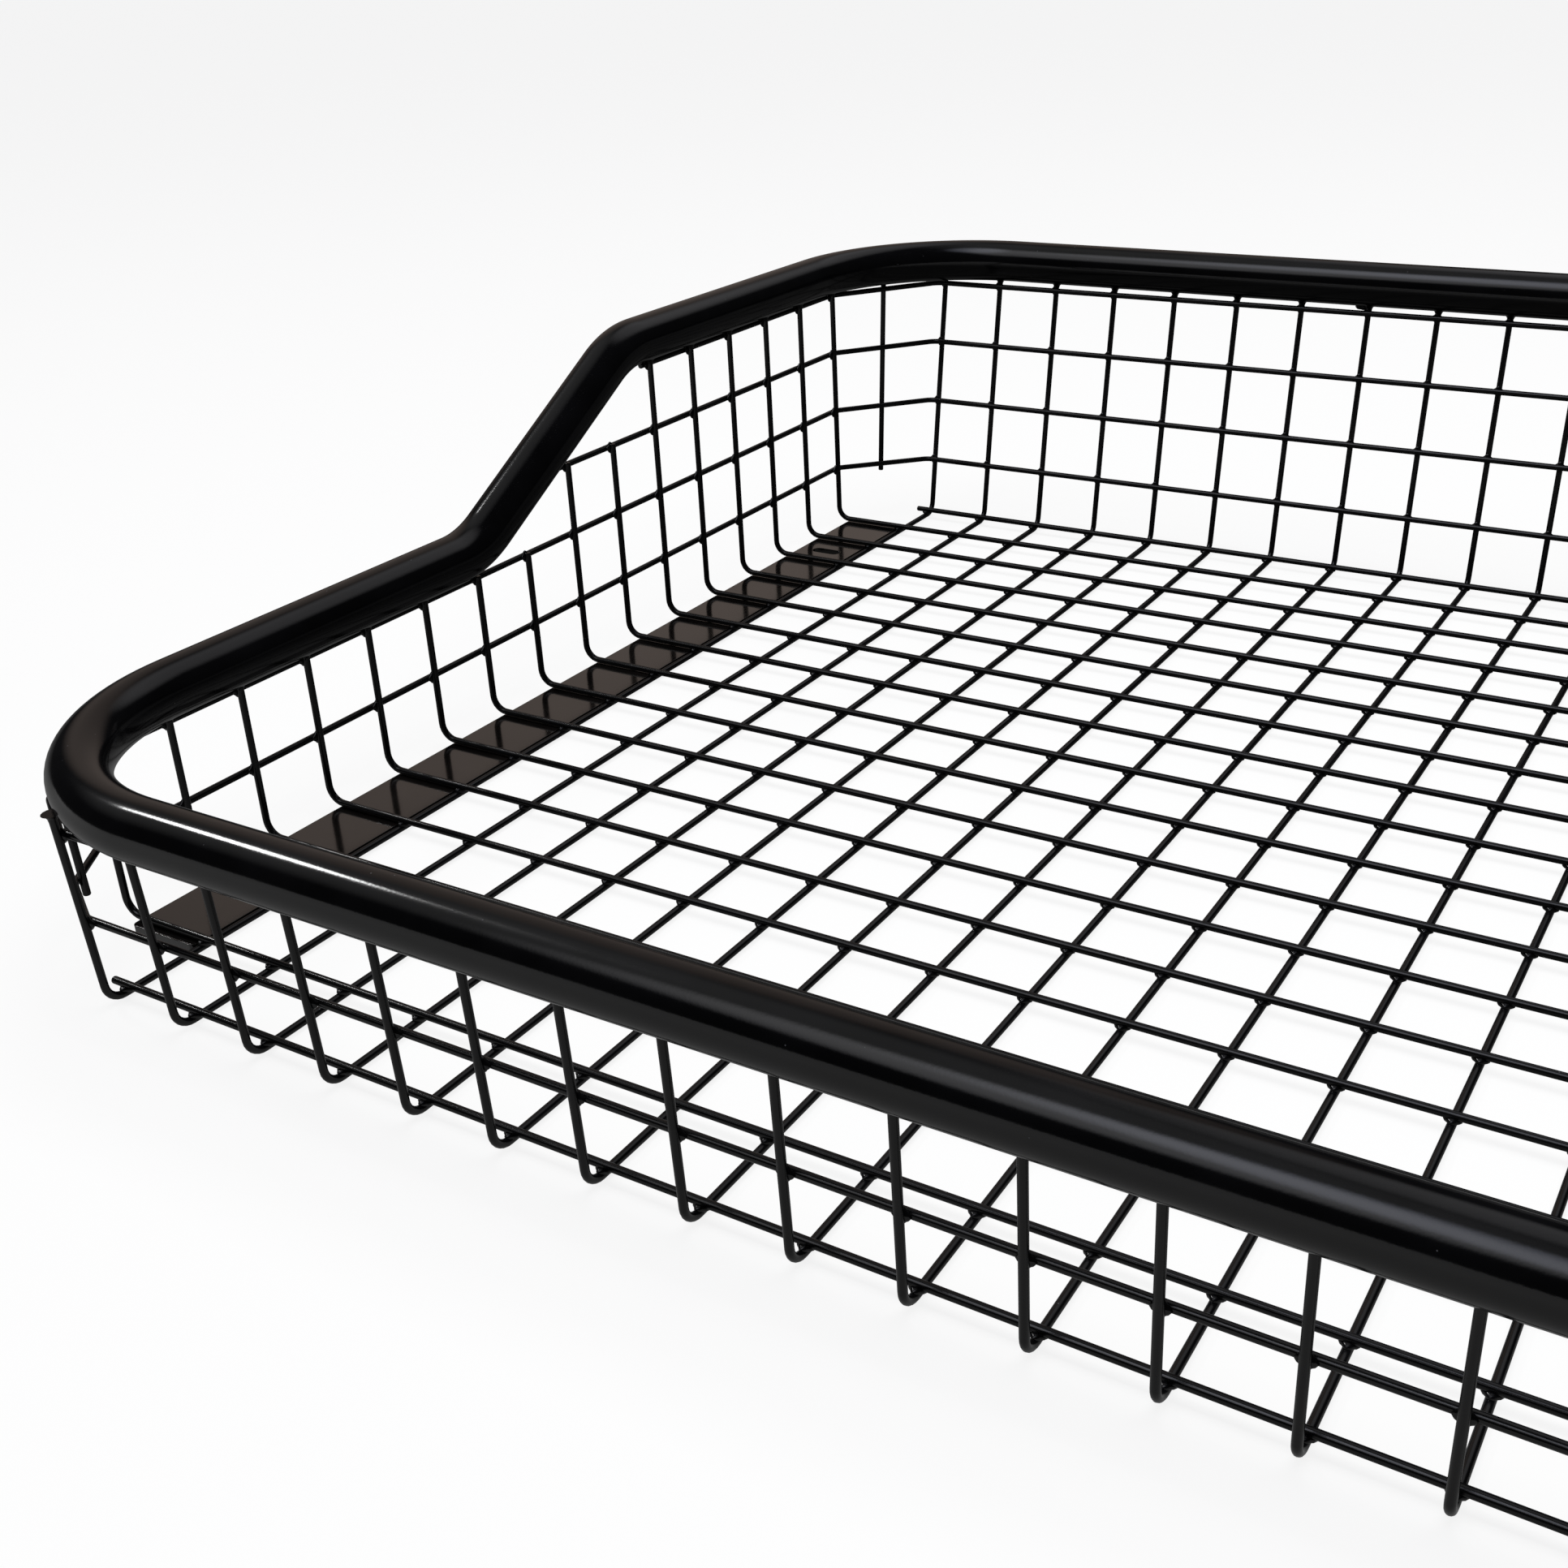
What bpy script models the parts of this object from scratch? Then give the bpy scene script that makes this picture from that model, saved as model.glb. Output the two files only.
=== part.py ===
# Welded steel cargo basket: a floor of crossed wires that turn up into four low walls,
# wire rings round the walls, a bent tube rim on top and two flat mounting bars below.
# X runs across the basket, Y runs from front to back, Z is up and the bars rest on Z = 0.
import math

import bmesh
import bpy
from mathutils import Vector

mm = 0.001

# Mesh, in millimetres
pitch = 50.8                  # spacing of the floor wires, both ways
wire_diameter = 4.2
weld_gap = 0.3                # clearance kept wherever two welded pieces meet
lengthwise_count = 21         # wires that run from front to back
crosswise_count = 18          # wires that run from side to side
bend_radius = 10.0            # centreline radius where a floor wire turns up a wall
wire_stub = 9.0               # what a straight floor wire leaves beyond the last crossing
ring_stub = 6.0               # what an open ring leaves beyond its last upright
upright_stub = 3.0            # what a shorter upright leaves above its last ring
corner_stub = 7.0             # what a corner upright leaves below the lowest ring
flank_drop = 6.0              # an upright beside the rim ends this far below the rim's axis

# Walls, in millimetres and degrees
side_reach = 60.7             # side wall plane beyond the outermost lengthwise wire
front_reach = 9.2             # front wall plane, at the floor, beyond the first crosswise wire
back_reach = 7.6              # back wall plane, at the floor, beyond the last crosswise wire
front_lean = 2.7              # how far the front wall leans outward
back_lean = 8.5               # how far the back wall leans outward
ring_heights = [44.1, 93.9, 142.4, 189.9]   # of the four rings above the floor mesh
low_ring = 2                  # the ring just under the low part of the rim, from the lowest

# Where the side wall steps up, counted in crosswise wires from the back
top_ring_first_row = 6        # the top ring starts here and runs round the back
third_ring_first_row = 8      # the third ring starts here and runs round the back
low_rim_first_row = 11        # from here to the front the uprights reach the low rim

# Cut corners of the rings, in millimetres
corner_lead = 6.0             # straight stretch past the last side upright
corner_inset = 5.0            # the cut ends this far outboard of the outer lengthwise wire
corner_bend = 12.0            # centreline radius of every bend in the cut
front_bulge = 9.0             # the front cuts are bent outward in the middle

# Rim tube, in millimetres and degrees
rim_diameter = 31.75
rim_wall = 1.6
rim_gap = 2.0                 # height of the sliver between a ring and the rim above it
rim_corner_radius = 125.0     # centreline radius of the four plan corners
step_angle = 29.6             # slope of the stretch that joins the low rim to the high rim
step_bend = 76.0              # centreline radius at both ends of that stretch
step_row = 8.37               # crosswise wire, from the back, above which the slope has its middle
sleeve_length = 80.0
sleeve_wall = 2.0
sleeve_fit = 0.3              # clearance between a joint sleeve and the rim's bore

# Mounting bars, in millimetres
bar_width = 48.0
bar_thickness = 5.0
bar_back_row = 0.93           # the bar ends here, counted in crosswise wires from the back
bar_front_row = 16.12
slot_length = 25.0
slot_width = 10.0
slot_rows = [2.5, 14.5]       # where the bar is slotted, in crosswise wires from the back
end_hole_length = 12.0        # small hole across the back end of the bar
end_hole_width = 6.5
end_hole_inset = 10.0         # its middle, from the bar's inner edge
end_hole_row = 1.09

# Mesh quality
wire_sides = 6
tube_sides = 16
wire_bend_steps = 3
rim_corner_steps = 8
step_bend_steps = 3
slot_end_steps = 6

# Sizes that follow from the ones above
wire_radius = wire_diameter / 2
layer_step = wire_diameter + weld_gap           # between the axes of two wires that cross
half_layer = layer_step / 2
rim_radius = rim_diameter / 2
ring_count = len(ring_heights)
crosswise_z = bar_thickness + weld_gap + wire_radius
lengthwise_z = crosswise_z - layer_step
mesh_z = crosswise_z - half_layer
half_width = (lengthwise_count - 1) * pitch / 2
half_depth = (crosswise_count - 1) * pitch / 2
side_plane = half_width + side_reach
upright_x = side_plane - half_layer
ring_x = side_plane + half_layer
front_slope = math.tan(math.radians(front_lean))
back_slope = math.tan(math.radians(back_lean))


def ringZ(ring):
    return mesh_z + ring_heights[ring - 1]


low_rim_z = ringZ(low_ring) + wire_radius + rim_gap + rim_radius
high_rim_z = ringZ(ring_count) + wire_radius + rim_gap + rim_radius

# The floor mesh sits off center in Y so that the rim, the widest part, is centered
front_flare = front_reach + (low_rim_z - mesh_z) * front_slope
back_flare = back_reach + (high_rim_z - mesh_z) * back_slope
mesh_y = (front_flare - back_flare) / 2


def columnX(column):
    return column * pitch - half_width


def rowY(row):
    return mesh_y + half_depth - row * pitch


def frontPlane(z):
    return mesh_y - half_depth - front_reach - (z - mesh_z) * front_slope


def backPlane(z):
    return mesh_y + half_depth + back_reach + (z - mesh_z) * back_slope


front_rim_y = frontPlane(low_rim_z) - half_layer
back_rim_y = backPlane(high_rim_z) + half_layer


# Distance in plan from the rim's axis, positive outside it, for a point near the wall
def rimOffset(x, y, rim_y):
    beyond_x = abs(x) - (upright_x - rim_corner_radius)
    beyond_y = abs(y) - (abs(rim_y) - rim_corner_radius)
    if beyond_x <= 0 or beyond_y <= 0:
        return max(beyond_x, beyond_y) - rim_corner_radius
    return math.hypot(beyond_x, beyond_y) - rim_corner_radius


# Height at which an upright that stands this far from the rim's axis meets the tube
def topUnderRim(offset, rim_z):
    reach = rim_radius + weld_gap
    aside = min(max(abs(offset) - wire_radius, 0), reach)
    return rim_z - max(math.sqrt(reach ** 2 - aside ** 2), flank_drop)


def clearScene():
    for item in list(bpy.data.objects):
        bpy.data.objects.remove(item, do_unlink=True)


def steelMaterial(name, color, roughness, metallic):
    material = bpy.data.materials.new(name)
    material.use_nodes = True
    shader = material.node_tree.nodes["Principled BSDF"]
    shader.inputs["Base Color"].default_value = (*color, 1.0)
    shader.inputs["Roughness"].default_value = roughness
    shader.inputs["Metallic"].default_value = metallic
    return material


# Path through the points with a round bend of the given radius at each inner point
def roundedPath(points, radii, steps, closed=False):
    path = []
    count = len(points)
    for index, corner in enumerate(points):
        if not closed and index in (0, count - 1):
            path.append(corner.copy())
            continue
        arriving = (points[index - 1] - corner).normalized()
        leaving = (points[(index + 1) % count] - corner).normalized()
        turn = math.pi - arriving.angle(leaving)
        tangent_length = radii[index] * math.tan(turn / 2)
        start = corner + arriving * tangent_length
        middle = (arriving + leaving).normalized()
        center = corner + middle * (radii[index] / math.cos(turn / 2))
        first = start - center
        axis = first.cross(corner + leaving * tangent_length - center).normalized()
        across = axis.cross(first)
        for step in range(steps[index] + 1):
            angle = turn * step / steps[index]
            path.append(center + first * math.cos(angle) + across * math.sin(angle))
    return path


# Frames along the path, each turned from the last one by the smallest rotation
def pathFrames(path, normal, closed):
    frames = []
    count = len(path)
    for index, point in enumerate(path):
        if closed:
            tangent = (path[(index + 1) % count] - path[index - 1]).normalized()
        else:
            before = path[max(index - 1, 0)]
            after = path[min(index + 1, count - 1)]
            arriving = (point - before).normalized() if index > 0 else (after - point).normalized()
            leaving = (after - point).normalized() if index < count - 1 else arriving
            tangent = (arriving + leaving).normalized()
        normal = (normal - tangent * normal.dot(tangent)).normalized()
        frames.append((point, normal, tangent.cross(normal)))
    return frames


def sectionLoop(mesh, frame, radius, sides):
    point, normal, side = frame
    loop = []
    for index in range(sides):
        angle = 2 * math.pi * index / sides
        offset = side * (radius * math.cos(angle)) + normal * (radius * math.sin(angle))
        loop.append(mesh.verts.new((point + offset) * mm))
    return loop


def joinLoops(mesh, first, second):
    sides = len(first)
    for index in range(sides):
        following = (index + 1) % sides
        mesh.faces.new((first[index], first[following], second[following], second[index]))


def finishPiece(name, mesh, material, smooth_angle):
    bmesh.ops.recalc_face_normals(mesh, faces=mesh.faces)
    data = bpy.data.meshes.new(name)
    mesh.to_mesh(data)
    mesh.free()
    data.materials.append(material)
    data.shade_smooth()
    data.set_sharp_from_angle(angle=math.radians(smooth_angle))
    piece = bpy.data.objects.new(name, data)
    bpy.context.scene.collection.objects.link(piece)
    return piece


# Round bar along a path; an inner radius makes it a tube that is open at both ends
def roundPiece(name, path, normal, radius, sides, material, inner_radius=0.0, closed=False):
    mesh = bmesh.new()
    frames = pathFrames(path, normal, closed)
    skins = []
    for skin_radius in [radius, inner_radius]:
        if skin_radius == 0.0:
            continue
        loops = [sectionLoop(mesh, frame, skin_radius, sides) for frame in frames]
        for first, second in zip(loops, loops[1:]):
            joinLoops(mesh, first, second)
        if closed:
            joinLoops(mesh, loops[-1], loops[0])
        skins.append(loops)
    if not closed and len(skins) == 1:
        mesh.faces.new(skins[0][0])
        mesh.faces.new(skins[0][-1])
    if not closed and len(skins) == 2:
        joinLoops(mesh, skins[0][0], skins[1][0])
        joinLoops(mesh, skins[0][-1], skins[1][-1])
    return finishPiece(name, mesh, material, 65.0)


def frontUprightY(z):
    return frontPlane(z) - half_layer


def backUprightY(z):
    return backPlane(z) + half_layer


def lengthwiseWire(column, material):
    x = columnX(column)
    front_offset = rimOffset(x, frontUprightY(low_rim_z - rim_radius), front_rim_y)
    back_offset = rimOffset(x, backUprightY(high_rim_z - rim_radius), back_rim_y)
    front_top = topUnderRim(front_offset, low_rim_z)
    back_top = topUnderRim(back_offset, high_rim_z)
    path = roundedPath(
        [
            Vector((x, frontUprightY(front_top), front_top)),
            Vector((x, frontUprightY(lengthwise_z), lengthwise_z)),
            Vector((x, backUprightY(lengthwise_z), lengthwise_z)),
            Vector((x, backUprightY(back_top), back_top)),
        ],
        [0, bend_radius, bend_radius, 0],
        [0, wire_bend_steps, wire_bend_steps, 0],
    )
    name = f"lengthwise_wire_{column + 1:02d}"
    return roundPiece(name, path, Vector((1, 0, 0)), wire_radius, wire_sides, material)


def uprightTop(row):
    y = rowY(row)
    if row <= top_ring_first_row:
        return topUnderRim(rimOffset(upright_x, y, back_rim_y), high_rim_z)
    if row <= third_ring_first_row:
        return ringZ(3) + upright_stub
    if row < low_rim_first_row:
        return ringZ(low_ring) + upright_stub
    return topUnderRim(rimOffset(upright_x, y, front_rim_y), low_rim_z)


def crosswiseWire(row, material):
    y = rowY(row)
    name = f"crosswise_wire_{row + 1:02d}"
    if row in (0, crosswise_count - 1):
        reach = half_width + wire_stub
        path = [Vector((-reach, y, crosswise_z)), Vector((reach, y, crosswise_z))]
    else:
        top = uprightTop(row)
        path = roundedPath(
            [
                Vector((-upright_x, y, top)),
                Vector((-upright_x, y, crosswise_z)),
                Vector((upright_x, y, crosswise_z)),
                Vector((upright_x, y, top)),
            ],
            [0, bend_radius, bend_radius, 0],
            [0, wire_bend_steps, wire_bend_steps, 0],
        )
    return roundPiece(name, path, Vector((0, 1, 0)), wire_radius, wire_sides, material)


# Reflection in the plane midway between the sides
def mirrored(point):
    return Vector((-point.x, point.y, point.z))


# Right-hand corner of a ring: both ends of the cut, its middle, and the way it faces
def cutCorner(z, at_front):
    cut_x = half_width + corner_inset
    if at_front:
        beside = Vector((ring_x, rowY(crosswise_count - 2) - corner_lead, z))
        ahead = Vector((cut_x, frontPlane(z) + half_layer, z))
    else:
        beside = Vector((ring_x, rowY(1) + corner_lead, z))
        ahead = Vector((cut_x, backPlane(z) - half_layer, z))
    along = (ahead - beside).normalized()
    outward = Vector((abs(along.y), math.copysign(abs(along.x), ahead.y), 0))
    bulge = front_bulge if at_front else 0.0
    middle = (beside + ahead) / 2 + outward * bulge
    return beside, middle, ahead, outward


def ringCorners(z):
    beside, middle, ahead, outward = cutCorner(z, False)
    back_half = [beside, ahead, mirrored(ahead), mirrored(beside)]
    beside, middle, ahead, outward = cutCorner(z, True)
    front_half = [mirrored(beside), mirrored(middle), mirrored(ahead), ahead, middle, beside]
    return back_half, front_half


def closedRing(name, ring, material):
    z = ringZ(ring)
    back_half, front_half = ringCorners(z)
    points = back_half + front_half
    path = roundedPath(
        points, [corner_bend] * len(points), [wire_bend_steps] * len(points), closed=True
    )
    up = Vector((0, 0, 1))
    return roundPiece(name, path, up, wire_radius, wire_sides, material, closed=True)


def openRing(name, ring, first_row, material):
    z = ringZ(ring)
    start_y = rowY(first_row) - ring_stub
    back_half = ringCorners(z)[0]
    points = [Vector((ring_x, start_y, z)), *back_half, Vector((-ring_x, start_y, z))]
    path = roundedPath(
        points,
        [0] + [corner_bend] * len(back_half) + [0],
        [0] + [wire_bend_steps] * len(back_half) + [0],
    )
    up = Vector((0, 0, 1))
    return roundPiece(name, path, up, wire_radius, wire_sides, material)


# Short upright at the middle of the cut, from the lowest ring up to the rim. It stands
# outside the rings at the back and inside them at the front.
def cornerUpright(name, side, at_front, top_ring, rim_y, rim_z, material):
    corners = [cutCorner(ringZ(ring), at_front) for ring in (1, top_ring)]
    outward = (corners[0][3] + corners[1][3]).normalized()
    reach = layer_step
    if at_front:
        beside, middle, ahead = corners[0][:3]
        half_turn = (middle - beside).angle(ahead - middle) / 2
        reach = -layer_step - corner_bend * (1 / math.cos(half_turn) - 1)
    low, high = [corner[1] + outward * reach for corner in corners]
    rise = (high - low) / (high.z - low.z)
    near_rim = high + rise * (rim_z - rim_radius - high.z)
    top_z = topUnderRim(rimOffset(near_rim.x, near_rim.y, rim_y), rim_z)
    bottom = low - rise * corner_stub
    top = high + rise * (top_z - high.z)
    path = [Vector((side * point.x, point.y, point.z)) for point in (bottom, top)]
    facing = Vector((side * outward.x, outward.y, 0))
    across = facing.cross(path[1] - path[0]).normalized()
    return roundPiece(name, path, across, wire_radius, wire_sides, material)


# The rim is one bent tube. Its two ends meet at the middle of the back.
def rimTube(name, material):
    rise = high_rim_z - low_rim_z
    run = rise / math.tan(math.radians(step_angle))
    step_y = rowY(step_row)
    right_half = [
        Vector((weld_gap / 2, back_rim_y, high_rim_z)),
        Vector((upright_x, back_rim_y, high_rim_z)),
        Vector((upright_x, step_y + run / 2, high_rim_z)),
        Vector((upright_x, step_y - run / 2, low_rim_z)),
        Vector((upright_x, front_rim_y, low_rim_z)),
    ]
    points = right_half + [mirrored(point) for point in reversed(right_half)]
    half_radii = [0, rim_corner_radius, step_bend, step_bend, rim_corner_radius]
    half_steps = [0, rim_corner_steps, step_bend_steps, step_bend_steps, rim_corner_steps]
    radii = half_radii + half_radii[::-1]
    steps = half_steps + half_steps[::-1]
    path = roundedPath(points, radii, steps)
    bore = rim_radius - rim_wall
    up = Vector((0, 0, 1))
    return roundPiece(name, path, up, rim_radius, tube_sides, material, inner_radius=bore)


def rimSleeve(name, y, z, material):
    # The bore is faceted, so the sleeve clears the flats and not the corners
    bore_flat = (rim_radius - rim_wall) * math.cos(math.pi / tube_sides)
    radius = bore_flat - sleeve_fit
    path = [Vector((-sleeve_length / 2, y, z)), Vector((sleeve_length / 2, y, z))]
    bore = radius - sleeve_wall
    up = Vector((0, 0, 1))
    return roundPiece(name, path, up, radius, tube_sides, material, inner_radius=bore)


def barOutline(inner_x, outer_x, front_y, back_y):
    return [(inner_x, front_y), (outer_x, front_y), (outer_x, back_y), (inner_x, back_y)]


def slotOutline(center_x, center_y, length, width):
    radius = width / 2
    straight = (length - width) / 2
    outline = []
    for end in (1, -1):
        for step in range(slot_end_steps + 1):
            angle = math.pi * (step / slot_end_steps - 0.5)
            x = center_x + end * (straight + radius * math.cos(angle))
            outline.append((x, center_y + end * radius * math.sin(angle)))
    return outline


def mountingBar(name, side, material):
    inner_x = half_width + wire_radius + weld_gap
    outer_x = inner_x + bar_width
    front_y = rowY(bar_front_row)
    back_y = rowY(bar_back_row)
    center_x = (inner_x + outer_x) / 2
    mesh = bmesh.new()
    outlines = [barOutline(inner_x, outer_x, front_y, back_y)]
    for row in slot_rows:
        outlines.append(slotOutline(center_x, rowY(row), slot_length, slot_width))
    hole_x = inner_x + end_hole_inset
    outlines.append(slotOutline(hole_x, rowY(end_hole_row), end_hole_length, end_hole_width))
    edges = []
    for outline in outlines:
        corners = [mesh.verts.new((side * x * mm, y * mm, 0)) for x, y in outline]
        for first, second in zip(corners, corners[1:] + corners[:1]):
            edges.append(mesh.edges.new((first, second)))
    bmesh.ops.triangle_fill(mesh, use_beauty=True, use_dissolve=False, edges=edges)
    raised = bmesh.ops.extrude_face_region(mesh, geom=list(mesh.faces))
    lifted = [item for item in raised["geom"] if isinstance(item, bmesh.types.BMVert)]
    bmesh.ops.translate(mesh, vec=(0, 0, bar_thickness * mm), verts=lifted)
    return finishPiece(name, mesh, material, 40.0)


def buildBasket():
    wire_coat = steelMaterial("black_coated_wire", (0.012, 0.012, 0.013), 0.38, 0.0)
    rim_coat = steelMaterial("black_coated_tube", (0.014, 0.014, 0.016), 0.3, 0.0)
    bar_coat = steelMaterial("black_coated_bar", (0.013, 0.013, 0.014), 0.25, 0.0)
    sleeve_steel = steelMaterial("bare_steel_sleeve", (0.45, 0.45, 0.46), 0.4, 1.0)
    for column in range(lengthwise_count):
        lengthwiseWire(column, wire_coat)
    for row in range(crosswise_count):
        crosswiseWire(row, wire_coat)
    closedRing("ring_1_lowest", 1, wire_coat)
    closedRing("ring_2_under_low_rim", low_ring, wire_coat)
    openRing("ring_3_high_part", 3, third_ring_first_row, wire_coat)
    openRing("ring_4_under_high_rim", ring_count, top_ring_first_row, wire_coat)
    for side, side_name in [(-1, "left"), (1, "right")]:
        back_name = f"corner_upright_back_{side_name}"
        front_name = f"corner_upright_front_{side_name}"
        cornerUpright(back_name, side, False, ring_count, back_rim_y, high_rim_z, wire_coat)
        cornerUpright(front_name, side, True, low_ring, front_rim_y, low_rim_z, wire_coat)
        mountingBar(f"mounting_bar_{side_name}", side, bar_coat)
    rimTube("rim_tube", rim_coat)
    rimSleeve("rim_sleeve_back", back_rim_y, high_rim_z, sleeve_steel)


clearScene()
buildBasket()
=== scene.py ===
import math

import bpy
from mathutils import Matrix, Vector


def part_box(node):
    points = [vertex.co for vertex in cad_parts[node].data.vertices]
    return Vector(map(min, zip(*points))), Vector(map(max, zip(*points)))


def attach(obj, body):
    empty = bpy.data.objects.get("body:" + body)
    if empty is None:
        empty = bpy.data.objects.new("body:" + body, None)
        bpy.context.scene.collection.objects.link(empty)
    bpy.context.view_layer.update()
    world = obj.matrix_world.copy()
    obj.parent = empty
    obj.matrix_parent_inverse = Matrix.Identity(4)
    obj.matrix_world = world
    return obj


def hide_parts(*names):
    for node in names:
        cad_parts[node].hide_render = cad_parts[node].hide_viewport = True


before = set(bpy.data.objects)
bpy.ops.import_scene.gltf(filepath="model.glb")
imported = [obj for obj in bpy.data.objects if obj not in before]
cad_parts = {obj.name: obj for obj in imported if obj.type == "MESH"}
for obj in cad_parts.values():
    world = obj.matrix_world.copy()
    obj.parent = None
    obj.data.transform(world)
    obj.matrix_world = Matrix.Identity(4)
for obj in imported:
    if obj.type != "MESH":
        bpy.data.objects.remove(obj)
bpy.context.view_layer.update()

mm = 0.001
crease = math.radians(40)        # sharper edges than this stay crisp


def hexColor(text):
    channels = [int(text[i:i + 2], 16) / 255 for i in (1, 3, 5)]
    linear = [c / 12.92 if c <= 0.04045 else ((c + 0.055) / 1.055) ** 2.4 for c in channels]
    return (*linear, 1.0)


def deselectAll():
    if bpy.context.object and bpy.context.object.mode != "OBJECT":
        bpy.ops.object.mode_set(mode="OBJECT")
    bpy.ops.object.select_all(action="DESELECT")


def activate(piece):
    deselectAll()
    piece.select_set(True)
    bpy.context.view_layer.objects.active = piece


def settle(piece):
    activate(piece)
    bpy.ops.object.transform_apply(location=True, rotation=True, scale=True)


def addNode(tree, kind, settings=None, inputs=None):
    node = tree.nodes.new(kind)
    for name, value in (settings or {}).items():
        setattr(node, name, value)
    for name, value in (inputs or {}).items():
        if isinstance(value, bpy.types.NodeSocket):
            tree.links.new(value, node.inputs[name])
        else:
            node.inputs[name].default_value = value
    return node


# Polyester powder coat, sprayed and baked on steel: satin black, a faint orange peel from
# the melted powder, and a few pale dust nibs
powderCoat = {
    "wire": {"dark": "#050506", "pale": "#0b0b0d", "roughness": 0.20, "peel": 0.10},
    "tube": {"dark": "#040405", "pale": "#09090b", "roughness": 0.12, "peel": 0.05},
    "bar": {"dark": "#070606", "pale": "#110f0e", "roughness": 0.11, "peel": 0.06,
            "clear": 1.0},
    "weld": {"dark": "#050506", "pale": "#0b0b0d", "roughness": 0.22, "peel": 0.22},
    "peelSize": 1.4 * mm,       # drawn twice as coarse as the real peel, so that it shows
    "mottleSize": 38 * mm,
    "nibSize": 5.0 * mm,
    "nibEdge": (0.05, 0.075),
    "nibRarity": 0.93,
    "nibTint": "#4a4a4e",
    "index": 1.5,
}


def makePowderCoat(name, look):
    material = bpy.data.materials.new(name)
    material.use_nodes = True
    tree = material.node_tree
    shader = tree.nodes["Principled BSDF"]
    place = addNode(tree, "ShaderNodeTexCoord").outputs["Object"]
    mottle = addNode(
        tree, "ShaderNodeTexNoise", None,
        {"Vector": place, "Scale": 1 / powderCoat["mottleSize"], "Detail": 4.0},
    )
    tint = addNode(tree, "ShaderNodeValToRGB", None, {"Fac": mottle.outputs["Fac"]})
    tint.color_ramp.elements[0].position = 0.35
    tint.color_ramp.elements[0].color = hexColor(look["dark"])
    tint.color_ramp.elements[1].position = 0.70
    tint.color_ramp.elements[1].color = hexColor(look["pale"])
    nibs = addNode(
        tree, "ShaderNodeTexVoronoi", {"feature": "F1"},
        {"Vector": place, "Scale": 1 / powderCoat["nibSize"], "Randomness": 1.0},
    )
    nibMask = addNode(
        tree, "ShaderNodeMapRange", None,
        {"Value": nibs.outputs["Distance"], "From Min": powderCoat["nibEdge"][0],
         "From Max": powderCoat["nibEdge"][1], "To Min": 1.0, "To Max": 0.0},
    )
    rare = addNode(
        tree, "ShaderNodeMath", {"operation": "GREATER_THAN"},
        {0: addNode(tree, "ShaderNodeSeparateColor", None,
                    {"Color": nibs.outputs["Color"]}).outputs["Red"], 1: powderCoat["nibRarity"]},
    )
    nib = addNode(
        tree, "ShaderNodeMath", {"operation": "MULTIPLY"},
        {0: nibMask.outputs["Result"], 1: rare.outputs["Value"]},
    )
    coated = addNode(
        tree, "ShaderNodeMix", {"data_type": "RGBA"},
        {"Factor": nib.outputs["Value"], 6: tint.outputs["Color"],
         7: hexColor(powderCoat["nibTint"])},
    )
    gloss = addNode(
        tree, "ShaderNodeMapRange", None,
        {"Value": mottle.outputs["Fac"], "From Min": 0.3, "From Max": 0.7,
         "To Min": look["roughness"] * 0.88, "To Max": look["roughness"] * 1.14},
    )
    peel = addNode(
        tree, "ShaderNodeTexNoise", None,
        {"Vector": place, "Scale": 1 / powderCoat["peelSize"], "Detail": 2.0,
         "Roughness": 0.45},
    )
    bump = addNode(
        tree, "ShaderNodeBump", None,
        {"Height": peel.outputs["Fac"], "Strength": look["peel"], "Distance": 0.3 * mm},
    )
    tree.links.new(coated.outputs[2], shader.inputs["Base Color"])
    tree.links.new(gloss.outputs["Result"], shader.inputs["Roughness"])
    tree.links.new(bump.outputs["Normal"], shader.inputs["Normal"])
    shader.inputs["IOR"].default_value = powderCoat["index"]
    shader.inputs["Coat Weight"].default_value = look.get("clear", 0.0)
    shader.inputs["Coat Roughness"].default_value = look["roughness"]
    return material


# Cold-drawn steel tube, left bare inside the rim: grey, with fine lines along the draw
def makeDrawnSteel(name):
    material = bpy.data.materials.new(name)
    material.use_nodes = True
    tree = material.node_tree
    shader = tree.nodes["Principled BSDF"]
    place = addNode(tree, "ShaderNodeTexCoord").outputs["Object"]
    along = addNode(
        tree, "ShaderNodeMapping", None,
        {"Vector": place, "Scale": (1 / (60 * mm), 1 / (0.6 * mm), 1 / (0.6 * mm))},
    )
    lines = addNode(tree, "ShaderNodeTexNoise", None, {"Vector": along.outputs["Vector"]})
    tint = addNode(tree, "ShaderNodeValToRGB", None, {"Fac": lines.outputs["Fac"]})
    tint.color_ramp.elements[0].color = hexColor("#8d8f92")
    tint.color_ramp.elements[1].color = hexColor("#b9bbbe")
    bump = addNode(
        tree, "ShaderNodeBump", None,
        {"Height": lines.outputs["Fac"], "Strength": 0.2, "Distance": 0.1 * mm},
    )
    tree.links.new(tint.outputs["Color"], shader.inputs["Base Color"])
    tree.links.new(bump.outputs["Normal"], shader.inputs["Normal"])
    shader.inputs["Metallic"].default_value = 1.0
    shader.inputs["Roughness"].default_value = 0.38
    return material


wireCoat = makePowderCoat("powderCoatedWire", powderCoat["wire"])
tubeCoat = makePowderCoat("powderCoatedTube", powderCoat["tube"])
barCoat = makePowderCoat("powderCoatedBar", powderCoat["bar"])
weldCoat = makePowderCoat("powderCoatedWeld", powderCoat["weld"])
drawnSteel = makeDrawnSteel("drawnSteel")
print("materials made")


def middleOf(node):
    low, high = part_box(node)
    return (Vector(low) + Vector(high)) / 2


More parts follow.
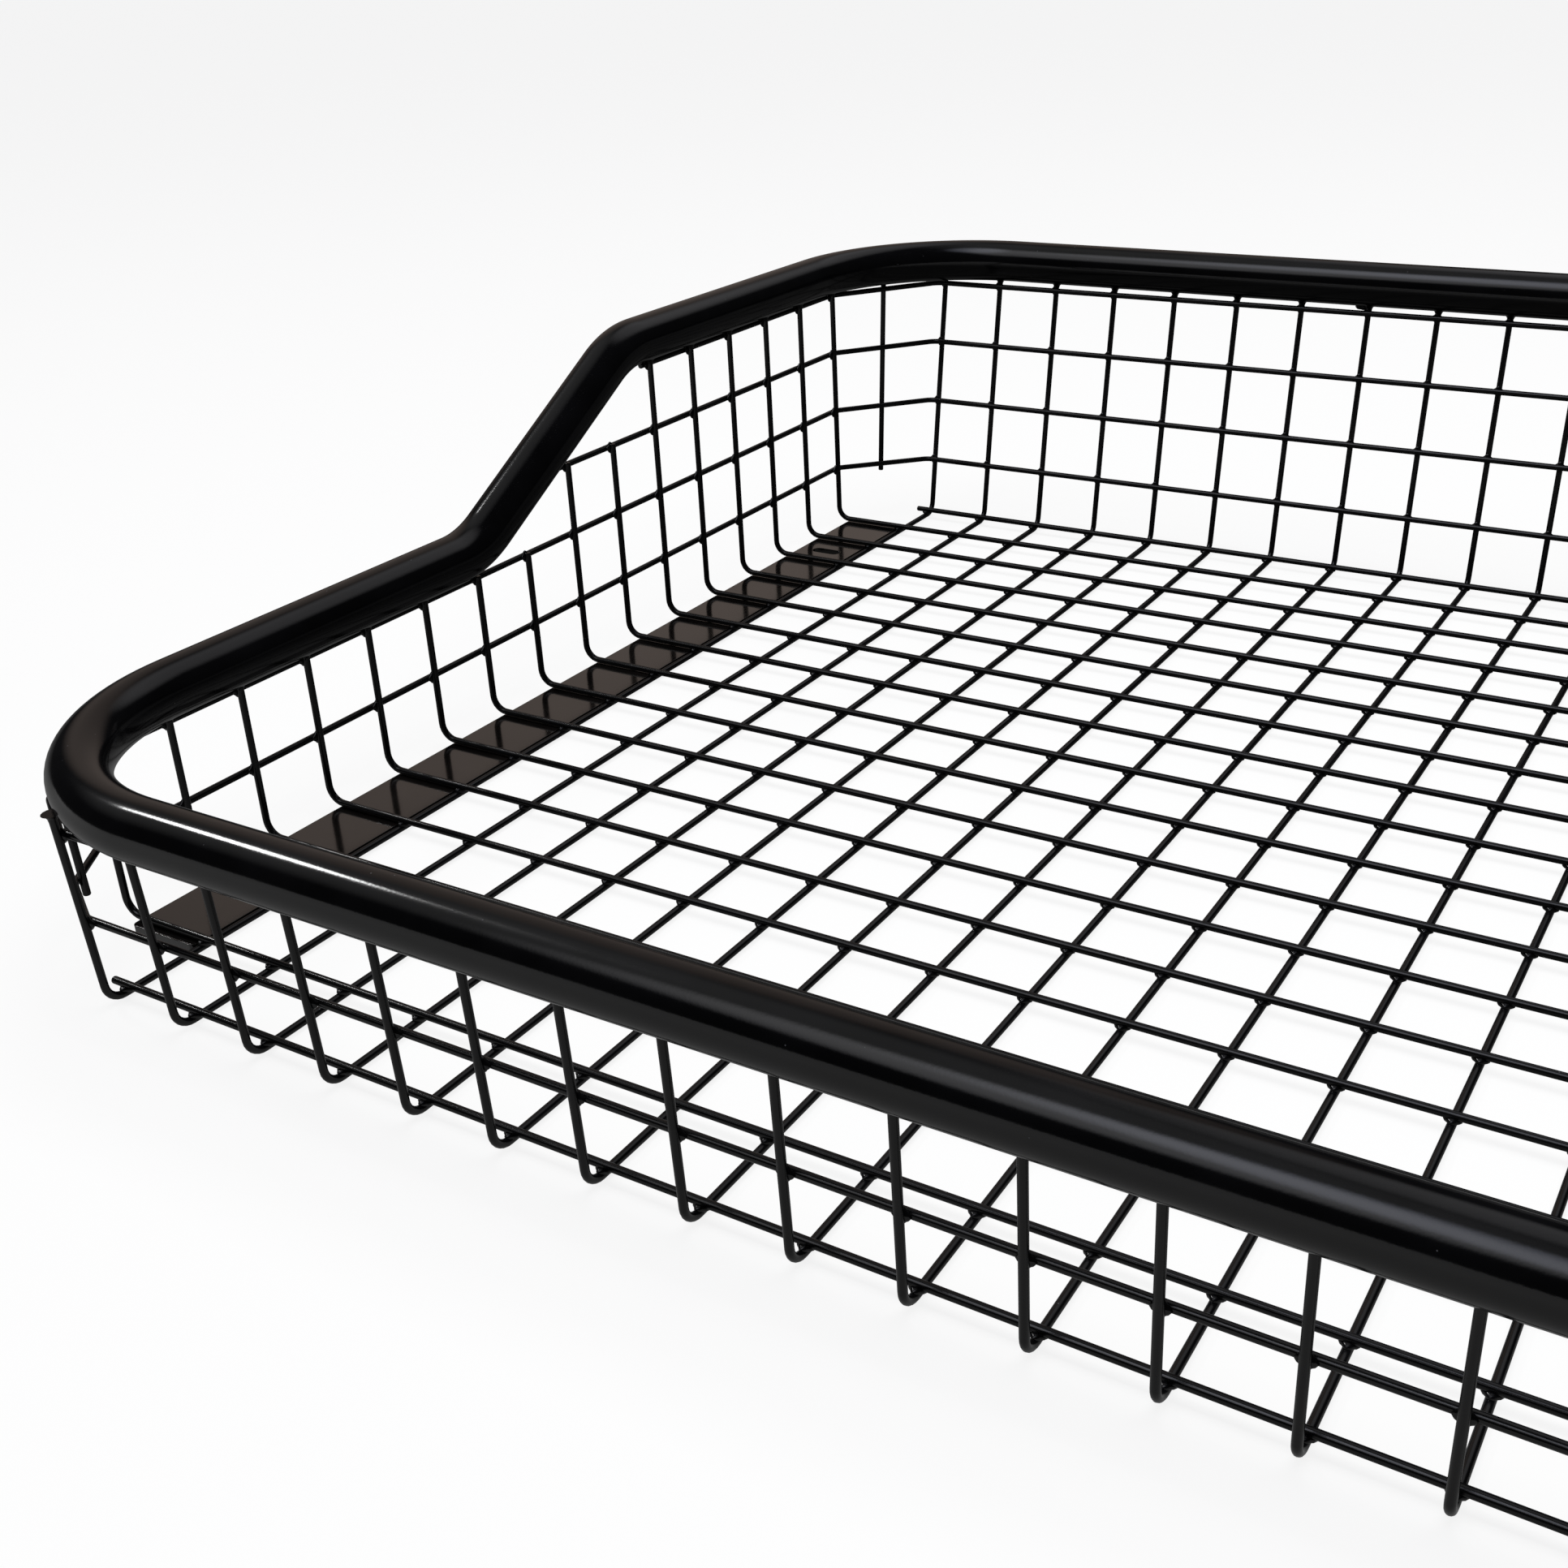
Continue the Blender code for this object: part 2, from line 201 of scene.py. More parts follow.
wire = {
    "radius": 2.1 * mm,
    "step": 4.5 * mm,           # between the axes of two wires that cross
    "bend": 10 * mm,
    "sides": 16,
    "bendSteps": 7,
    "endRound": 0.7 * mm,
}
rim = {
    "radius": 15.875 * mm,
    "wall": 1.6 * mm,
    "corner": 125 * mm,
    "stepAngle": math.radians(29.6),
    "stepBend": 76 * mm,
    "stepRow": 8.37,
    "sides": 64,
    "cornerSteps": 28,
    "stepSteps": 12,
    "halfGap": 0.15 * mm,
    "flankDrop": 6 * mm,
}
cut = {
    "lead": 6 * mm, "inset": 5 * mm, "bend": 12 * mm, "bulge": 9 * mm, "stub": 7 * mm,
}

columns = [middleOf(f"lengthwise_wire_{n + 1:02d}").x for n in range(21)]
rows = [middleOf(f"crosswise_wire_{n + 1:02d}").y for n in range(18)]
pitch = columns[1] - columns[0]
crossZ = middleOf("crosswise_wire_01").z
lengthZ = crossZ - wire["step"]
floorZ = (crossZ + lengthZ) / 2

ringNodes = [
    "ring_1_lowest", "ring_2_under_low_rim", "ring_3_high_part", "ring_4_under_high_rim",
]
ringZs = [middleOf(node).z for node in ringNodes]
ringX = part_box(ringNodes[0])[1][0] - wire["radius"]
uprightX = ringX - wire["step"]

rimLow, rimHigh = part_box("rim_tube")
frontRimY = rimLow[1] + rim["radius"]
backRimY = rimHigh[1] - rim["radius"]
lowRimZ = rimLow[2] + rim["radius"]
highRimZ = rimHigh[2] - rim["radius"]


def wallLine(corner, sign):
    heights = [ringZs[0], ringZs[1]]
    reaches = [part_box(ringNodes[n])[corner][1] - sign * wire["radius"] for n in (0, 1)]
    slope = (reaches[1] - reaches[0]) / (heights[1] - heights[0])
    return lambda z: reaches[0] + (z - heights[0]) * slope


frontRingY = wallLine(0, -1)
backRingY = wallLine(1, 1)


def frontUprightY(z):
    return frontRingY(z) - wire["step"]


def backUprightY(z):
    return backRingY(z) + wire["step"]


def besideRimAxis(x, y, rimY):
    overX = abs(x) - (uprightX - rim["corner"])
    overY = abs(y) - (abs(rimY) - rim["corner"])
    if overX <= 0 or overY <= 0:
        return max(overX, overY) - rim["corner"]
    return math.hypot(overX, overY) - rim["corner"]


def underRim(offset, rimZ):
    aside = min(max(abs(offset) - wire["radius"], 0), rim["radius"])
    return rimZ - max(math.sqrt(rim["radius"] ** 2 - aside ** 2), rim["flankDrop"])


# Straight runs and turns along a path, for drawing a circle out into round wire or tube
def pathMoves(corners, bends, steps):
    moves = []
    place = corners[0]
    for n in range(1, len(corners) - 1):
        incoming = (corners[n] - corners[n - 1]).normalized()
        outgoing = (corners[n + 1] - corners[n]).normalized()
        turn = incoming.angle(outgoing)
        back = bends[n] * math.tan(turn / 2)
        start = corners[n] - incoming * back
        axis = incoming.cross(outgoing).normalized()
        inward = axis.cross(incoming).normalized()
        moves.append(("run", start - place))
        moves.append(("turn", start + inward * bends[n], axis, turn, steps[n]))
        place = corners[n] + outgoing * back
    moves.append(("run", corners[-1] - place))
    return moves


def drawTube(name, corners, bends, steps, radius, sides, capped=True):
    deselectAll()
    heading = (corners[1] - corners[0]).normalized()
    bpy.ops.mesh.primitive_circle_add(
        vertices=sides, radius=radius, location=corners[0],
        rotation=heading.to_track_quat("Z", "Y").to_euler(),
        fill_type="NGON" if capped else "NOTHING",
    )
    piece = bpy.context.object
    piece.name = name
    piece.data.name = name
    settle(piece)
    bpy.ops.object.mode_set(mode="EDIT")
    bpy.ops.mesh.select_all(action="SELECT")
    for move in pathMoves(corners, bends, steps):
        if move[0] == "run":
            bpy.ops.mesh.extrude_region_move(TRANSFORM_OT_translate={"value": move[1]})
        else:
            kind, center, axis, angle, count = move
            bpy.ops.mesh.spin(steps=count, angle=angle, center=center, axis=-axis)
    if capped:
        bpy.ops.mesh.select_all(action="DESELECT")
        bpy.ops.mesh.select_face_by_sides(number=sides, type="EQUAL", extend=False)
        bpy.ops.mesh.bevel(offset=wire["endRound"], segments=3, affect="EDGES")
    bpy.ops.mesh.select_all(action="SELECT")
    bpy.ops.mesh.remove_doubles(threshold=0.01 * mm)
    bpy.ops.mesh.normals_make_consistent(inside=False)
    bpy.ops.object.mode_set(mode="OBJECT")
    return piece


def evenNormals(piece):
    activate(piece)
    bpy.ops.object.shade_smooth_by_angle(angle=crease)
    large = piece.modifiers.new("largeFaces", "WEIGHTED_NORMAL")
    large.keep_sharp = True
    bpy.ops.object.modifier_apply(modifier="largeFaces")


def finishPiece(piece, material, slotName, *nodes):
    evenNormals(piece)
    piece.data.materials.clear()
    piece.data.materials.append(material)
    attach(piece, "root")
    if nodes:
        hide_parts(*nodes)


def drawWire(name, node, corners, bend=wire["bend"], capped=True):
    inner = len(corners) - 2
    bends = [0] + [bend] * inner + [0]
    steps = [0] + [wire["bendSteps"]] * inner + [0]
    piece = drawTube(name, corners, bends, steps, wire["radius"], wire["sides"], capped)
    finishPiece(piece, wireCoat, "coated_wire", node)


# Floor wires that run from front to back and turn up both walls
frontTops, backTops = [], []
for n, x in enumerate(columns):
    frontGap = besideRimAxis(x, frontUprightY(lowRimZ - rim["radius"]), frontRimY)
    backGap = besideRimAxis(x, backUprightY(highRimZ - rim["radius"]), backRimY)
    frontTop = underRim(frontGap, lowRimZ)
    backTop = underRim(backGap, highRimZ)
    frontTops.append(Vector((x, frontUprightY(frontTop), frontTop)))
    backTops.append(Vector((x, backUprightY(backTop), backTop)))
    drawWire(
        f"lengthwiseWire{n + 1:02d}", f"lengthwise_wire_{n + 1:02d}",
        [frontTops[-1], Vector((x, frontUprightY(lengthZ), lengthZ)),
         Vector((x, backUprightY(lengthZ), lengthZ)), backTops[-1]],
    )
print("lengthwise wires drawn")

# Floor wires that run from side to side; the first and last stay flat
sideTops = []
for n, y in enumerate(rows):
    name = f"crosswiseWire{n + 1:02d}"
    node = f"crosswise_wire_{n + 1:02d}"
    low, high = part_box(node)
    if n in (0, len(rows) - 1):
        drawWire(name, node, [Vector((low[0], y, crossZ)), Vector((high[0], y, crossZ))])
        sideTops.append(None)
        continue
    top = high[2]
    sideTops.append(top)
    drawWire(
        name, node,
        [Vector((-uprightX, y, top)), Vector((-uprightX, y, crossZ)),
         Vector((uprightX, y, crossZ)), Vector((uprightX, y, top))],
    )
print("crosswise wires drawn")


# Right-hand cut corner of a ring: its two ends, its middle and the way it faces
def cutCorner(z, atFront):
    cutX = columns[-1] + cut["inset"]
    if atFront:
        beside = Vector((ringX, rows[-2] - cut["lead"], z))
        ahead = Vector((cutX, frontRingY(z), z))
    else:
        beside = Vector((ringX, rows[1] + cut["lead"], z))
        ahead = Vector((cutX, backRingY(z), z))
    along = (ahead - beside).normalized()
    outward = Vector((abs(along.y), math.copysign(abs(along.x), ahead.y), 0))
    middle = (beside + ahead) / 2 + outward * (cut["bulge"] if atFront else 0)
    return beside, middle, ahead, outward


def mirrored(point):
    return Vector((-point.x, point.y, point.z))


for n, node in enumerate(ringNodes):
    z = ringZs[n]
    name = ["ringLowest", "ringUnderLowRim", "ringHighPart", "ringUnderHighRim"][n]
    beside, middle, ahead, outward = cutCorner(z, False)
    backHalf = [beside, ahead, mirrored(ahead), mirrored(beside)]
    if n < 2:
        beside, middle, ahead, outward = cutCorner(z, True)
        frontHalf = [mirrored(beside), mirrored(middle), mirrored(ahead)]
        frontHalf += [ahead, middle, beside]
        start = (backHalf[1] + backHalf[2]) / 2
        loop = [start, *backHalf[2:], *frontHalf, *backHalf[:2], start]
        drawWire(name, node, loop, cut["bend"], capped=False)
    else:
        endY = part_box(node)[0][1]
        corners = [Vector((ringX, endY, z)), *backHalf, Vector((-ringX, endY, z))]
        drawWire(name, node, corners, cut["bend"])

# Short uprights at the middle of each cut corner
cornerTops = []
for side, sideName in ((-1, "left"), (1, "right")):
    for atFront, endName in ((False, "back"), (True, "front")):
        topRing = ringZs[1] if atFront else ringZs[3]
        rimY, rimZ = (frontRimY, lowRimZ) if atFront else (backRimY, highRimZ)
        corners = [cutCorner(z, atFront) for z in (ringZs[0], topRing)]
        outward = (corners[0][3] + corners[1][3]).normalized()
        reach = wire["step"]
        if atFront:
            beside, middle, ahead = corners[0][:3]
            halfTurn = (middle - beside).angle(ahead - middle) / 2
            reach = -wire["step"] - cut["bend"] * (1 / math.cos(halfTurn) - 1)
        low, high = [corner[1] + outward * reach for corner in corners]
        rise = (high - low) / (high.z - low.z)
        nearRim = high + rise * (rimZ - rim["radius"] - high.z)
        topZ = underRim(besideRimAxis(nearRim.x, nearRim.y, rimY), rimZ)
        ends = [low - rise * cut["stub"], high + rise * (topZ - high.z)]
        ends = [Vector((side * p.x, p.y, p.z)) for p in ends]
        cornerTops.append((*ends, side))
        name = f"cornerUpright{endName.title()}{sideName.title()}"
        drawWire(name, f"corner_upright_{endName}_{sideName}", ends)
print("rings and corner uprights drawn")

# Rim: one bent tube whose ends meet at the middle of the back
stepRun = (highRimZ - lowRimZ) / math.tan(rim["stepAngle"])
wholeRow = int(rim["stepRow"])
stepY = rows[wholeRow] - pitch * (rim["stepRow"] - wholeRow)
rightHalf = [
    Vector((rim["halfGap"], backRimY, highRimZ)),
    Vector((uprightX, backRimY, highRimZ)),
    Vector((uprightX, stepY + stepRun / 2, highRimZ)),
    Vector((uprightX, stepY - stepRun / 2, lowRimZ)),
    Vector((uprightX, frontRimY, lowRimZ)),
]
corners = rightHalf + [mirrored(point) for point in reversed(rightHalf)]
bends = [0, rim["corner"], rim["stepBend"], rim["stepBend"], rim["corner"]]
steps = [0, rim["cornerSteps"], rim["stepSteps"], rim["stepSteps"], rim["cornerSteps"]]
tube = drawTube(
    "rimTube", corners, bends + bends[::-1], steps + steps[::-1],
    rim["radius"], rim["sides"], capped=False,
)
activate(tube)
wall = tube.modifiers.new("wall", "SOLIDIFY")
wall.thickness = rim["wall"]
wall.offset = -1
wall.use_even_offset = True
bpy.ops.object.modifier_apply(modifier="wall")
finishPiece(tube, tubeCoat, "coated_tube", "rim_tube")
print("rim drawn")

# Flat mounting bars under the crosswise wires
bar = {
    "thickness": 5 * mm,
    "slotLength": 25 * mm, "slotWidth": 10 * mm, "slotRows": (2.5, 14.5),
    "holeLength": 12 * mm, "holeWidth": 6.5 * mm, "holeInset": 10 * mm, "holeRow": 1.09,
    "edge": 0.8 * mm, "cornerRound": 3 * mm,
}


def rowAt(row):
    whole = int(row)
    return rows[whole] - pitch * (row - whole)


def slotCutter(x, y, length, width):
    deselectAll()
    bpy.ops.mesh.primitive_circle_add(
        vertices=32, radius=width / 2, fill_type="NGON",
        location=(x, y, -bar["thickness"]), rotation=(0, 0, math.radians(360 / 64)),
    )
    cutter = bpy.context.object
    settle(cutter)
    for vertex in cutter.data.vertices:
        vertex.co.x += math.copysign((length - width) / 2, vertex.co.x - x)
    bpy.ops.object.mode_set(mode="EDIT")
    bpy.ops.mesh.select_all(action="SELECT")
    bpy.ops.mesh.extrude_region_move(
        TRANSFORM_OT_translate={"value": (0, 0, 3 * bar["thickness"])}
    )
    bpy.ops.mesh.select_all(action="SELECT")
    bpy.ops.mesh.normals_make_consistent(inside=False)
    bpy.ops.object.mode_set(mode="OBJECT")
    return cutter


for side, sideName in ((-1, "left"), (1, "right")):
    node = f"mounting_bar_{sideName}"
    low, high = [Vector(corner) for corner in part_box(node)]
    middle, size = (low + high) / 2, high - low
    deselectAll()
    bpy.ops.mesh.primitive_cube_add(size=1, location=middle, scale=size)
    plate = bpy.context.object
    plate.name = f"mountingBar{sideName.title()}"
    settle(plate)
    bpy.ops.object.mode_set(mode="EDIT")
    bpy.ops.mesh.select_mode(type="EDGE")
    bpy.ops.mesh.select_all(action="DESELECT")
    bpy.ops.object.mode_set(mode="OBJECT")
    for edge in plate.data.edges:
        first, second = [plate.data.vertices[v].co for v in edge.vertices]
        edge.select = abs(first.z - second.z) > size.z / 2
    bpy.ops.object.mode_set(mode="EDIT")
    bpy.ops.mesh.bevel(offset=bar["cornerRound"], segments=6, affect="EDGES")
    bpy.ops.object.mode_set(mode="OBJECT")
    innerX = low.x if side > 0 else high.x
    cuts = [(middle.x, rowAt(row), bar["slotLength"], bar["slotWidth"])
            for row in bar["slotRows"]]
    cuts.append((innerX + side * bar["holeInset"], rowAt(bar["holeRow"]),
                 bar["holeLength"], bar["holeWidth"]))
    for x, y, length, width in cuts:
        cutter = slotCutter(x, y, length, width)
        activate(plate)
        punch = plate.modifiers.new("punch", "BOOLEAN")
        punch.operation = "DIFFERENCE"
        punch.solver = "EXACT"
        punch.object = cutter
        bpy.ops.object.modifier_apply(modifier="punch")
        bpy.data.objects.remove(cutter, do_unlink=True)
    edges = plate.modifiers.new("edges", "BEVEL")
    edges.width = bar["edge"]
    edges.segments = 3
    edges.limit_method = "ANGLE"
    edges.angle_limit = crease
    bpy.ops.object.modifier_apply(modifier="edges")
    finishPiece(plate, barCoat, "coated_bar", node)
print("mounting bars made")

# Weld webs, collars and beads
weld = {
    "webArm": 4.3 * mm, "webSide": 3.7 * mm, "webCorner": 3.15 * mm,
    "webRows": ((0.9, 0.94), (1.8, 0.62)),   # height in mm, and how far it has drawn in
    "collar": ((0, 1.02), (1.4, 1.08), (2.6, 1.3), (3.5, 1.75), (4.1, 2.3)),
    "collarSink": 1.1 * mm,
    "collarSides": 14,
    "lumpColumns": (7, 13),
    "lumpSize": (5.5, 3.0, 2.6),             # in mm
    "lumpAside": 5.5 * mm,
    "lumpUnder": 0.6 * mm,
    "lumpRipple": 0.07,
    "fullRows": (6, 11),        # between these rows the side uprights end below the slope
}


def growRows(rowsUp, direction):
    reached = 0
    width = 1.0
    for height, scale in rowsUp:
        move = Vector(direction) * (height - reached) * mm
        bpy.ops.mesh.extrude_region_move(TRANSFORM_OT_translate={"value": move})
        factor = scale / width
        center = Vector(direction) * height * mm
        bpy.ops.transform.resize(value=(factor, factor, 1), center_override=center)
        reached, width = height, scale


def makeWeb():
    deselectAll()
    bpy.ops.mesh.primitive_circle_add(vertices=16, radius=1, fill_type="NGON")
    web = bpy.context.object
    for vertex in web.data.vertices:
        turn = round(math.degrees(math.atan2(vertex.co.y, vertex.co.x)) / 22.5) % 4
        reach = (weld["webArm"], weld["webSide"], weld["webCorner"], weld["webSide"])[turn]
        vertex.co *= reach
    bpy.ops.object.mode_set(mode="EDIT")
    bpy.ops.mesh.select_all(action="SELECT")
    growRows(weld["webRows"], (0, 0, 1))
    bpy.ops.object.mode_set(mode="OBJECT")
    twin = web.copy()
    twin.data = web.data.copy()
    bpy.context.collection.objects.link(twin)
    twin.scale.z = -1
    settle(twin)
    web.select_set(True)
    bpy.context.view_layer.objects.active = web
    bpy.ops.object.join()
    bpy.ops.object.mode_set(mode="EDIT")
    bpy.ops.mesh.select_all(action="SELECT")
    bpy.ops.mesh.remove_doubles(threshold=0.01 * mm)
    bpy.ops.mesh.select_all(action="DESELECT")
    bpy.ops.mesh.select_interior_faces()
    bpy.ops.mesh.delete(type="FACE")
    bpy.ops.mesh.select_all(action="SELECT")
    bpy.ops.mesh.normals_make_consistent(inside=False)
    bpy.ops.object.mode_set(mode="OBJECT")
    return web


def placeCopies(name, pattern, places):
    copies = []
    for center, turn in places:
        twin = pattern.copy()
        twin.data = pattern.data.copy()
        bpy.context.collection.objects.link(twin)
        twin.matrix_world = Matrix.Translation(center) @ turn.to_4x4()
        copies.append(twin)
    deselectAll()
    for twin in copies:
        twin.select_set(True)
    bpy.context.view_layer.objects.active = copies[0]
    bpy.ops.object.join()
    joined = bpy.context.object
    joined.name = name
    joined.data.name = name
    settle(joined)
    finishPiece(joined, weldCoat, "coated_wire")


def frameOf(along, normal):
    z = normal.normalized()
    x = (along - z * along.dot(z)).normalized()
    y = z.cross(x)
    return Matrix((x, y, z)).transposed()


web = makeWeb()
xAxis, yAxis, zAxis = Vector((1, 0, 0)), Vector((0, 1, 0)), Vector((0, 0, 1))

floorSpots = []
for x in columns:
    for y in rows:
        floorSpots.append((Vector((x, y, floorZ)), frameOf(xAxis, zAxis)))
placeCopies("floorWelds", web, floorSpots)

frontSpots, backSpots = [], []
for x in columns:
    for n, z in enumerate(ringZs):
        if n < 2:
            lean = Vector((0, frontRingY(1) - frontRingY(0), 1))
            spot = Vector((x, (frontRingY(z) + frontUprightY(z)) / 2, z))
            frontSpots.append((spot, frameOf(xAxis, xAxis.cross(lean))))
        lean = Vector((0, backRingY(1) - backRingY(0), 1))
        spot = Vector((x, (backRingY(z) + backUprightY(z)) / 2, z))
        backSpots.append((spot, frameOf(xAxis, xAxis.cross(lean))))
placeCopies("frontWallWelds", web, frontSpots)
placeCopies("backWallWelds", web, backSpots)

for side, sideName in ((-1, "Left"), (1, "Right")):
    spots = []
    for n, y in enumerate(rows):
        for z in ringZs:
            if sideTops[n] is None or z > sideTops[n] - wire["radius"] / 2:
                continue
            spot = Vector((side * (ringX + uprightX) / 2, y, z))
            spots.append((spot, frameOf(yAxis, xAxis)))
    placeCopies(f"sideWallWelds{sideName}", web, spots)
bpy.data.objects.remove(web, do_unlink=True)
print("crossing welds placed")


# Flared collar of weld where an upright meets the rim, drawn upward from the wire
def makeCollar():
    deselectAll()
    bpy.ops.mesh.primitive_circle_add(
        vertices=weld["collarSides"], radius=wire["radius"] * weld["collar"][0][1],
        fill_type="NGON",
    )
    collar = bpy.context.object
    bpy.ops.object.mode_set(mode="EDIT")
    bpy.ops.mesh.select_all(action="SELECT")
    growRows(weld["collar"][1:], (0, 0, 1))
    bpy.ops.mesh.select_all(action="SELECT")
    bpy.ops.mesh.normals_make_consistent(inside=False)
    bpy.ops.object.mode_set(mode="OBJECT")
    return collar


collar = makeCollar()
collarHeight = weld["collar"][-1][0] * mm


def collarAt(top, heading):
    heading = heading.normalized()
    base = top - heading * (collarHeight - weld["collarSink"])
    return base, frameOf(xAxis, heading)


frontHeading = Vector((0, frontRingY(1) - frontRingY(0), 1))
backHeading = Vector((0, backRingY(1) - backRingY(0), 1))
placeCopies("frontRimWelds", collar, [collarAt(top, frontHeading) for top in frontTops])
placeCopies("backRimWelds", collar, [collarAt(top, backHeading) for top in backTops])
lastHigh, firstLow = weld["fullRows"]
reachingRim = [n for n, top in enumerate(sideTops) if top and not lastHigh < n < firstLow]
for side, sideName in ((-1, "Left"), (1, "Right")):
    spots = []
    for n in reachingRim:
        spots.append(collarAt(Vector((side * uprightX, rows[n], sideTops[n])), zAxis))
    for bottom, top, whichSide in cornerTops:
        if whichSide == side:
            spots.append(collarAt(top, top - bottom))
    placeCopies(f"sideRimWelds{sideName}", collar, spots)
bpy.data.objects.remove(collar, do_unlink=True)


# Heavier hand-laid weld beads under the front and back rim, beside two of the uprights
def makeLump(name, center, size, seed):
    deselectAll()
    bpy.ops.mesh.primitive_ico_sphere_add(subdivisions=4, radius=1, location=(0, 0, 0))
    lump = bpy.context.object
    lump.name = name
    bpy.ops.object.mode_set(mode="EDIT")
    bpy.ops.mesh.select_all(action="SELECT")
    bpy.ops.transform.vertex_random(offset=0.03, seed=seed)
    bpy.ops.mesh.vertices_smooth(factor=0.5, repeat=2)
    bpy.ops.object.mode_set(mode="OBJECT")
    for vertex in lump.data.vertices:
        ripple = 1 + weld["lumpRipple"] * math.sin(vertex.co.x * 7.5)
        vertex.co = Vector((vertex.co.x, vertex.co.y * ripple, vertex.co.z * ripple))
    lump.scale = [part * mm for part in size]
    lump.location = center
    settle(lump)
    finishPiece(lump, weldCoat, "coated_wire")


for n in weld["lumpColumns"]:
    for top, y, z, endName in (
        (frontTops[n], frontRimY, lowRimZ, "Front"), (backTops[n], backRimY, highRimZ, "Back"),
    ):
        underside = z - rim["radius"] - weld["lumpUnder"]
        center = Vector((top.x - weld["lumpAside"], y, underside))
        makeLump(f"rimBead{endName}{n + 1:02d}", center, weld["lumpSize"], n)
print("rim welds placed")

floorLook = {
    "size": 60.0,
    "paper": 0.12,              # how much of the floor's brightness comes from the lamp
    "glow": 0.86,               # and how much the paper shows by itself
    "mirrored": (0.38, 0.06),   # as the coat reflects it: brighter ahead of the basket, darker under it as painted shade
    "paintedShadeFade": (-0.95, 0.10),
}


def makePaperFloor(name):
    material = bpy.data.materials.new(name)
    material.use_nodes = True
    tree = material.node_tree
    tree.nodes.remove(tree.nodes["Principled BSDF"])
    matt = addNode(
        tree, "ShaderNodeBsdfDiffuse", None,
        {"Color": (floorLook["paper"], floorLook["paper"], floorLook["paper"], 1)},
    )
    lit = addNode(tree, "ShaderNodeEmission", None, {"Strength": floorLook["glow"]})
    seen = addNode(tree, "ShaderNodeAddShader", None, {0: matt.outputs[0], 1: lit.outputs[0]})
    place = addNode(tree, "ShaderNodeTexCoord").outputs["Object"]
    across = addNode(tree, "ShaderNodeSeparateXYZ", None, {"Vector": place})
    # Painted shade: the floor that the coat reflects darkens from ahead of the basket to under it,
    # in place of the basket's shadow
    fade = addNode(
        tree, "ShaderNodeMapRange", {"interpolation_type": "SMOOTHSTEP"},
        {"Value": across.outputs["Y"], "From Min": floorLook["paintedShadeFade"][0],
         "From Max": floorLook["paintedShadeFade"][1], "To Min": floorLook["mirrored"][0],
         "To Max": floorLook["mirrored"][1]},
    )
    dim = addNode(
        tree, "ShaderNodeEmission", None, {"Strength": fade.outputs["Result"]}
    )
    rayKind = addNode(tree, "ShaderNodeLightPath")
    choice = addNode(
        tree, "ShaderNodeMixShader", None,
        {"Fac": rayKind.outputs["Is Camera Ray"], 1: dim.outputs[0], 2: seen.outputs[0]},
    )
    tree.links.new(choice.outputs[0], tree.nodes["Material Output"].inputs["Surface"])
    return material


deselectAll()
bpy.ops.mesh.primitive_plane_add(size=floorLook["size"], location=(0, 0, -0.5 * mm))
ground = bpy.context.object
ground.name = "studioFloor"
ground.data.materials.append(makePaperFloor("paperFloor"))

cameraSettings = {
    "place": (0.2076, -0.9087, 0.4849),
    "turn": (63.332, 2.248, 31.282),
    "lens": 40.95,
    "shift": (-0.0205, 0.0092),
}
cameraData = bpy.data.cameras.new("studioCamera")
cameraData.lens = cameraSettings["lens"]
cameraData.sensor_width = 36
cameraData.shift_x, cameraData.shift_y = cameraSettings["shift"]
cameraData.clip_start, cameraData.clip_end = 0.01, 100
camera = bpy.data.objects.new("studioCamera", cameraData)
bpy.context.collection.objects.link(camera)
camera.location = cameraSettings["place"]
camera.rotation_euler = [math.radians(angle) for angle in cameraSettings["turn"]]
bpy.context.scene.camera = camera

# A dim studio with softboxes, each given by its bearing from the back round to the right,
# its height above the horizon, the angles where it starts to fade and ends, and brightness
softboxes = {
    "frontOverhead": (-152, 54, 10, 24, 0.95, "#fbfbff"),
    "backOverhead": (6, 50, 10, 28, 0.44, "#fdfcff"),
    "leftWash": (-95, 62, 10, 40, 0.25, "#ffffff"),
    "backWall": (-40, 22, 12, 30, 0.22, "#ffe9dc"),
    "frontHigh": (-166, 66, 6, 20, 1.30, "#e6ebff"),
    "barePanel": (-85, 44.5, 2.5, 4.5, 34.0, "#ffffff"),
}
dimWall = 0.012
plainWhite = 0.975


def bearing(turn, height):
    turn, height = math.radians(turn), math.radians(height)
    flat = math.cos(height)
    return Vector((math.sin(turn) * flat, math.cos(turn) * flat, math.sin(height)))


